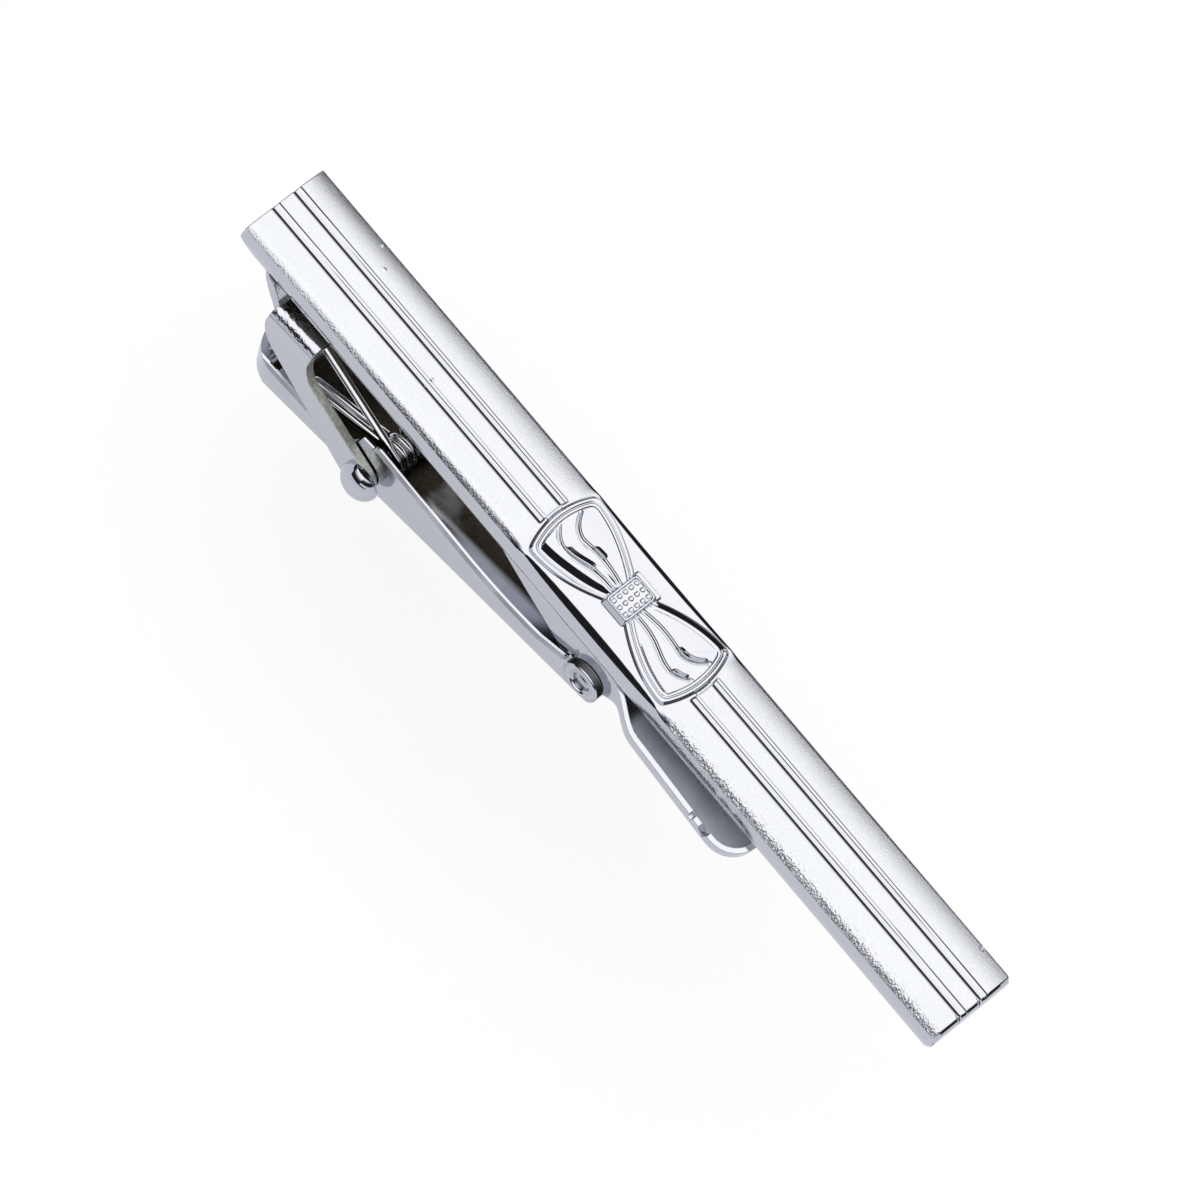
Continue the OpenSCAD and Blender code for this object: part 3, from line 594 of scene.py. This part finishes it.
def spring_half(s):
    """one half's points, from under the plate to the loop between the lower legs;
    s is 1 for the near half and -1 for the far one"""
    under = PLATE_Z + (LEG_AT - PLATE_FROM) * math.tan(PLATE_TILT) - SHEET / math.cos(PLATE_TILT)
    end = np.array([LEG_AT - HALF_L, under - WIRE_R - 0.04]) - PIV
    end_a = math.atan2(end[1], end[0]) - math.acos(COIL_R / np.linalg.norm(end))
    start_a = REST - math.pi / 2
    wound = end_a + 2 * math.pi * FULL_TURNS
    pts = []
    # upper leg
    t0 = COIL_R * np.array([math.cos(end_a), math.sin(end_a)])
    for k in np.linspace(1, 0, 14)[:-1]:
        q = t0 + (end - t0) * k
        pts.append((q[0], -COIL_OUT - (LEG_END_Y - COIL_OUT) * k, q[1]))
    # coil
    n = 120
    for i in range(n + 1):
        a = wound - (wound - start_a) * i / n
        y = -COIL_OUT + (COIL_OUT - LEG_Y) * i / n
        pts.append((COIL_R * math.cos(a), y, COIL_R * math.sin(a)))
    # lower leg and its half of the loop
    q0 = COIL_R * np.array([math.cos(start_a), math.sin(start_a)])
    lead = np.array([math.cos(REST), math.sin(REST)])
    for k in np.linspace(0, 1, 12)[1:]:
        q = q0 - (LEG_L - LEG_Y) * k * lead
        pts.append((q[0], -LEG_Y - s * DRIFT * k, q[1]))
    for a in np.linspace(0, math.pi / 2, 9)[1:]:
        q = q0 - (LEG_L - LEG_Y + LEG_Y * math.sin(a)) * lead
        pts.append((q[0], -LEG_Y * math.cos(a) - s * DRIFT, q[1]))
    pts = np.array(pts)
    pts[:, 1] *= s
    return pts + np.array([PIV[0], 0.0, PIV[1]])


def tube(name, pts, r, n=16):
    """round wire of radius r along pts, with n sides"""
    tan = np.gradient(pts, axis=0)
    tan /= np.linalg.norm(tan, axis=1)[:, None]
    ref = np.array([0, 1.0, 0])
    rings = []
    for p, t in zip(pts, tan):
        ref = ref - ref.dot(t) * t
        if np.linalg.norm(ref) < 1e-6:
            ref = np.array([1.0, 0, 0]) - t[0] * t
        ref /= np.linalg.norm(ref)
        b = np.cross(t, ref)
        turn = [2 * math.pi * k / n for k in range(n)]
        rings.append([p + r * (math.cos(a) * ref + math.sin(a) * b) for a in turn])
    return loft(name, np.array(rings))


# masks of bare faces, and leans of the normal, for metal()
PIN = (1.329, -3.196)


def around(t, pos, axis):
    """the vector from an axis along y to the surface, and its length"""
    x, _, z = t.split(pos.outputs["Object"])
    out = t.xyz(t.math("SUBTRACT", x, axis[0] * MM), 0.0, t.math("SUBTRACT", z, axis[1] * MM))
    return out, t.length(out)


def wire_tilt(t, pos):
    """the legs are worn brighter on top than the coils"""
    rho = around(t, pos, PIV)[1]
    return t.xyz(0.0, -0.45, 0.89), t.ramp(rho, 1.3 * MM, 1.6 * MM, 0.0, 0.8)


def ear_cut(t, pos):
    """cut faces of the bracket's ears: greenish grey, rougher"""
    _, y, z = t.split(pos.outputs["Object"])
    across = t.math("ABSOLUTE", t.split(pos.outputs["Normal"])[1])
    edge = t.times(t.ramp(across, 0.3, 0.7, 1.0, 0.0),
                   t.ramp(t.math("ABSOLUTE", y), 2.95 * MM, 3.02 * MM))
    return t.times(edge, t.ramp(z, -1.9 * MM, -1.5 * MM, 1.0, 0.0)), None


def fold_lumps(t, pos):
    """the bracket's fold is uneven"""
    x, _, z = t.split(pos.outputs["Object"])
    height = t.between(z, -2.5 * MM, -2.0 * MM, -1.2 * MM, -0.9 * MM)
    return t.times(t.times(t.ramp(x, -20.0 * MM, -19.2 * MM, 1.0, 0.0), height), 26.0)


def pad_tilt(t, pos):
    """the pad's end runs on from the bar's wall"""
    x = t.split(pos.outputs["Object"])[0]
    level = t.math("ABSOLUTE", t.split(pos.outputs["Normal"])[2])
    end = t.times(t.ramp(x, -24.90 * MM, -24.98 * MM), t.ramp(level, 0.3, 0.6, 1.0, 0.0))
    return t.xyz(0.0, -8.0, 0.0), end


def lever_inside_shade(t, pos):
    """unpolished inner faces of the lever's channel, painted near black as shade: the walls, and
    the floor round the coil, away from the near wall and in the finger cup's corner"""
    x, y, _ = t.split(pos.outputs["Object"])
    _, ny, nz = t.split(pos.outputs["Normal"])
    near = t.ramp(t.math("ABSOLUTE", y), 2.53 * MM, 2.60 * MM, 1.0, 0.0)
    wall = t.ramp(t.times(ny, t.math("SIGN", y)), -0.6, -0.3, 1.0, 0.0)
    coil = t.between(x, -21 * MM, -20.4 * MM, -12.5 * MM, -10.5 * MM)
    side = t.times(t.ramp(y, -1.3 * MM, -0.7 * MM), t.ramp(x, -22.6 * MM, -22 * MM))
    corner = t.between(x, -23.42 * MM, -23.36 * MM, -22.9 * MM, -22.84 * MM)
    dark = t.math("MAXIMUM", t.math("MAXIMUM", coil, side), corner)
    bed = t.times(t.ramp(nz, 0.3, 0.6), dark)
    # a paler patch with a ragged edge across the floor is a painted reflection of the spring
    rag = t.noise(pos.outputs["Object"], 620.0, 3.0, 0.6)
    ragged = t.times(t.math("SUBTRACT", rag, 0.5), 3.2 * MM)
    bent = t.math("ADD", x, t.math("ADD", ragged, t.times(y, 0.35)))
    painted_reflection = t.between(bent, -12.6 * MM, -11.5 * MM, -11.3 * MM, -9.9 * MM)
    return (t.times(near, t.math("MAXIMUM", wall, bed)),
            t.times(painted_reflection, t.ramp(rag, 0.3, 0.7, 0.55, 0.9)))


def lever_tilt(t, pos):
    """the walls' rims lean outwards; the round lugs swell into a ring round the pin"""
    y = t.split(pos.outputs["Object"])[1]
    _, ny, nz = t.split(pos.outputs["Normal"])
    side, wide = t.math("SIGN", y), t.math("ABSOLUTE", y)
    across = t.math("ABSOLUTE", ny)
    out, rho = around(t, pos, PIN)
    rim = t.times(t.ramp(nz, 0.6, 0.8), t.ramp(wide, 2.49 * MM, 2.51 * MM))
    rim = t.times(rim, t.ramp(rho, 1.38 * MM, 1.42 * MM))
    roll = t.ramp(wide, 2.66 * MM, 2.76 * MM, 0.4, 5.0)
    ring = t.times(t.ramp(across, 0.7, 0.9), t.ramp(rho, 1.36 * MM, 1.30 * MM))
    swell = t.times(t.math("SUBTRACT", rho, 1.0 * MM), 8.0 / MM)
    # a lug's outer edge is rounded over
    lug = t.times(t.ramp(across, 0.3, 0.5, 1.0, 0.0),
                  t.times(t.ramp(nz, 0.15, 0.3), t.ramp(rho, 1.38 * MM, 1.42 * MM, 1.0, 0.0)))
    rolled = t.times(t.times(side, rim), roll)
    rounded = t.times(t.times(side, lug), 3.9)
    radial = t.vec("SCALE", t.vec("NORMALIZE", out), t.times(swell, ring))
    edges = t.xyz(0.0, t.math("ADD", rolled, rounded), t.times(lug, 3.0))
    return t.vec("ADD", edges, radial), 1.0


def rivet_tilt(t, pos):
    """the rivet's heads are turned with a small crown, steeper towards the rim"""
    y = t.split(pos.outputs["Object"])[1]
    nx, _, nz = t.split(pos.outputs["Normal"])
    crown = t.times(t.ramp(nz, 0.86, 0.92), t.times(t.math("SIGN", y), -0.75))
    off = t.math("ABSOLUTE", t.math("ADD", nx, 0.12))
    flank = t.times(t.ramp(off, 0.20, 0.30), t.ramp(nz, 0.55, 0.66))
    return t.xyz(0.0, crown, t.times(flank, -0.20)), 1.0


def pin_tilt(t, pos):
    """the pin's ends are domed"""
    out = around(t, pos, PIN)[0]
    across = t.math("ABSOLUTE", t.split(pos.outputs["Normal"])[1])
    return t.vec("SCALE", out, 1.9 / MM), t.ramp(across, 0.7, 0.9)


def jaw_level(t, pos):
    """height over the jaw's own line, which slopes slightly along x"""
    x, _, z = t.split(pos.outputs["Object"])
    return t.math("ADD", z, t.times(x, 0.0454))


def jaw_inside_shade(t, pos):
    """the tray's inside is left unpolished, and painted near black as shade at its tail and paler
    towards its nose, where light comes in
    """
    x = t.split(pos.outputs["Object"])[0]
    nz = t.split(pos.outputs["Normal"])[2]
    deep = t.times(t.ramp(nz, 0.1, 0.5),
                   t.ramp(jaw_level(t, pos), -1.25 * MM, -1.15 * MM, 1.0, 0.0))
    return deep, t.times(t.ramp(x, 4.5 * MM, 5.2 * MM), 0.9)


def jaw_tilt(t, pos):
    """the tray's rim leans outwards"""
    x, y, _ = t.split(pos.outputs["Object"])
    nz = t.split(pos.outputs["Normal"])[2]
    top = t.times(t.ramp(nz, 0.8, 0.95), t.ramp(jaw_level(t, pos), -1.05 * MM, -0.98 * MM))
    out = t.xyz(t.ramp(x, 12.0 * MM, 14.4 * MM), t.times(y, 0.5 / MM), 0.0)
    return t.vec("SCALE", t.vec("NORMALIZE", out), 0.42), top


wire = metal("spring_steel", (0.60, 0.605, 0.62, 1), (0.10, 0.2), edge=0.001, tilt=wire_tilt)
for s, side in ((-1, "near"), (1, "far")):
    half = tube("spring_%s" % side, spring_half(-s), WIRE_R)
    half.data.materials.append(wire)
    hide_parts("torsion_spring")
    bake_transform(half)


# edges sharper than this stay sharp; faces flatter than this are joined
SHARP, FLAT = math.radians(26), math.radians(0.8)
WELD = 0.002 * MM


def smooth(o):
    """smooth shading with sharp edges kept, as modifiers that leave the mesh alone"""
    weld = o.modifiers.new("weld", "WELD")
    weld.merge_threshold = WELD
    flat = o.modifiers.new("flat", "DECIMATE")
    flat.decimate_type, flat.angle_limit = "DISSOLVE", FLAT
    group = bpy.data.node_groups.new("smooth_" + o.name, "GeometryNodeTree")
    group.interface.new_socket("Geometry", in_out="INPUT", socket_type="NodeSocketGeometry")
    group.interface.new_socket("Geometry", in_out="OUTPUT", socket_type="NodeSocketGeometry")
    t = Tree(group)
    src = t.add("NodeGroupInput").outputs[0]
    bare = t.add("GeometryNodeRemoveAttribute", ins={0: src, "Name": "custom_normal"})
    soft = t.add("GeometryNodeSetShadeSmooth", domain="FACE", ins={0: bare.outputs[0]})
    turn = t.add("GeometryNodeInputMeshEdgeAngle").outputs["Unsigned Angle"]
    sharp = t.add("FunctionNodeCompare", data_type="FLOAT", operation="GREATER_THAN",
                  ins={0: turn, 1: SHARP}).outputs[0]
    hard = t.add("GeometryNodeSetShadeSmooth", domain="EDGE",
                 ins={0: soft.outputs[0], 1: sharp, 2: False})
    t.add("NodeGroupOutput", ins={0: hard.outputs[0]})
    o.modifiers.new("smooth", "NODES").node_group = group
    weighted = o.modifiers.new("weighted", "WEIGHTED_NORMAL")
    weighted.keep_sharp = True


# the pieces that the CAD makes: their metals, and soft shading
looks = {
    "solder_joint": metal("solder", (0.55, 0.56, 0.58, 1), (0.15, 0.3), edge=0.03, grit=0.3),
    "hinge_bracket": metal("bracket_plating", cut=ear_cut, edge=0.12, grit=0.10, raw=0.42,
                           dark=((0.50, 0.52, 0.47, 1), (0.80, 0.82, 0.76, 1)), tilt=pad_tilt,
                           lumps=fold_lumps),
    "pivot_rivet": metal("rivet_plating", rough=(0.05, 0.09), edge=0.05, tilt=rivet_tilt),
    # the lever's two dark colours are painted shade inside its channel
    "lever": metal("lever_plating", rough=(0.08, 0.15), edge=0.05, cut=lever_inside_shade,
                   dark=((0.018, 0.014, 0.009, 1), (0.13, 0.13, 0.135, 1)), tilt=lever_tilt),
    "jaw_rivet": metal("pin_metal", (0.46, 0.47, 0.49, 1), (0.10, 0.18), edge=0.05, tilt=pin_tilt),
    # the jaw's dark and pale colours are painted shade and light inside its tray
    "swivel_jaw": metal("jaw_plating", rough=(0.08, 0.14), edge=0.10, cut=jaw_inside_shade, raw=0.4,
                        dark=((0.03, 0.03, 0.032, 1), (0.62, 0.65, 0.70, 1)), tilt=jaw_tilt),
}
for name, mat in looks.items():
    o = nodes[name]
    o.data.materials.clear()
    o.data.materials.append(mat)
    smooth(o)
